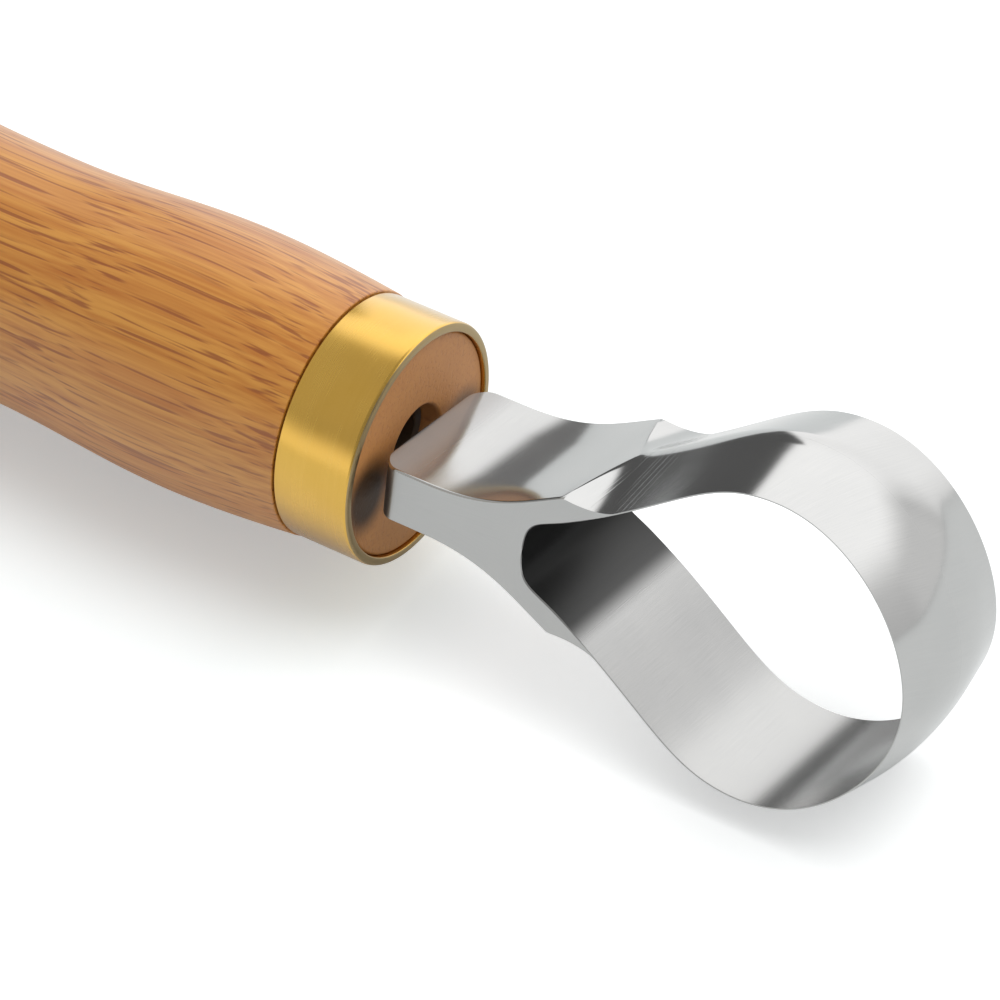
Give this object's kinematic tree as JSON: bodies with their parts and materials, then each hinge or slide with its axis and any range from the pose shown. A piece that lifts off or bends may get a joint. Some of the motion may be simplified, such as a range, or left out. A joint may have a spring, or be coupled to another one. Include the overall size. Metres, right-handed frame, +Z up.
{
  "type": "hook knife",
  "caption": "Closed-loop hook knife for hollowing wood: a teardrop steel loop ground to an edge on both rims, on a flat shank, with a brass ferrule and a turned wooden handle.",
  "frame": {"origin": "on the surface that the knife lies on, under the middle of its length", "axes": "+X along the tool towards the loop's nose, +Y to the side that the loop leans to, +Z up"},
  "size_m": [0.1918, 0.0276, 0.03],
  "materials": {
    "blade_steel": "ground and polished",
    "ferrule_brass": "satin polished",
    "handle_wood": "clear satin lacquer",
    "adhesive": "cured resin"
  },
  "bodies": {
    "root": {"blade": "blade_steel", "ferrule": "ferrule_brass", "handle": "handle_wood", "tang_adhesive": "adhesive"}
  },
  "joints": []
}
